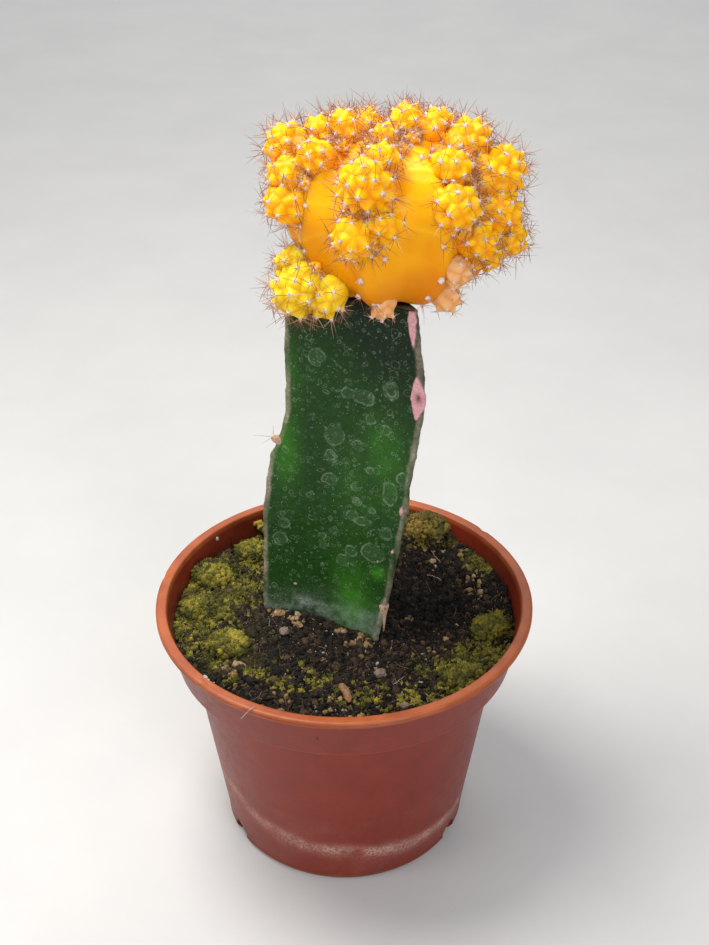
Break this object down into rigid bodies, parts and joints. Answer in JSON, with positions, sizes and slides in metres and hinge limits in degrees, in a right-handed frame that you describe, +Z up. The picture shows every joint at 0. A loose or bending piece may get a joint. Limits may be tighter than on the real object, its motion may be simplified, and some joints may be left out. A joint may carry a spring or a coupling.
{
  "type": "potted moon cactus",
  "caption": "Round yellow cactus head crowded with spiny offsets, grafted on a three-ribbed green stem that stands in soil in a tapered plastic nursery pot.",
  "frame": {"origin": "middle of the pot's foot, on the surface it stands on", "axes": "+Z up along the pot's axis, -Y towards the front, where the stem turns its widest face, +X to the right of it"},
  "size_m": [0.085, 0.085, 0.171],
  "materials": {
    "pot_plastic": "terracotta-coloured injection-moulded polypropylene, satin, scuffed, with a pale lime bloom low on the wall",
    "soil": "dark moist peat crumbs with tan and ochre grains",
    "green_skin": "dark green waxy stem skin with hard-water rings, corky rib edges and pink healed cuts",
    "yellow_skin": "bright golden-yellow fleshy skin with a soft wax sheen, deeper orange between the ribs",
    "offset_skin": "lemon to golden-yellow warty skin, with woolly areoles and thin brown spines",
    "moss": "low yellow-green moss, drying to olive brown",
    "bark": "orange-brown splinter of composted bark",
    "grit": "pale pinkish mineral crumb, matt"
  },
  "bodies": {
    "root": {"bark_splinter": "bark", "grit_crumb_1": "grit", "grit_crumb_2": "grit", "grit_crumb_3": "grit", "moss_cushion_1": "moss", "moss_cushion_2": "moss", "moss_cushion_3": "moss", "moss_cushion_4": "moss", "moss_cushion_5": "moss", "moss_cushion_6": "moss", "moss_cushion_7": "moss", "moss_cushion_8": "moss", "nursery_pot": "pot_plastic", "offset_01": "offset_skin", "offset_02": "offset_skin", "offset_03": "offset_skin", "offset_04": "offset_skin", "offset_05": "offset_skin", "offset_06": "offset_skin", "offset_07": "offset_skin", "offset_08": "offset_skin", "offset_09": "offset_skin", "offset_10": "offset_skin", "offset_11": "offset_skin", "offset_12": "offset_skin", "offset_13": "offset_skin", "offset_14": "offset_skin", "offset_15": "offset_skin", "offset_16": "offset_skin", "offset_17": "offset_skin", "offset_18": "offset_skin", "offset_19": "offset_skin", "offset_20": "offset_skin", "offset_21": "offset_skin", "offset_22": "offset_skin", "offset_23": "offset_skin", "offset_24": "offset_skin", "offset_25": "offset_skin", "offset_26": "offset_skin", "offset_27": "offset_skin", "offset_28": "offset_skin", "offset_29": "offset_skin", "offset_30": "offset_skin", "offset_31": "offset_skin", "offset_32": "offset_skin", "offset_33": "offset_skin", "offset_34": "offset_skin", "offset_35": "offset_skin", "offset_36": "offset_skin", "offset_37": "offset_skin", "offset_38": "offset_skin", "potting_soil": "soil", "rootstock": "green_skin", "scion": "yellow_skin"}
  },
  "joints": []
}
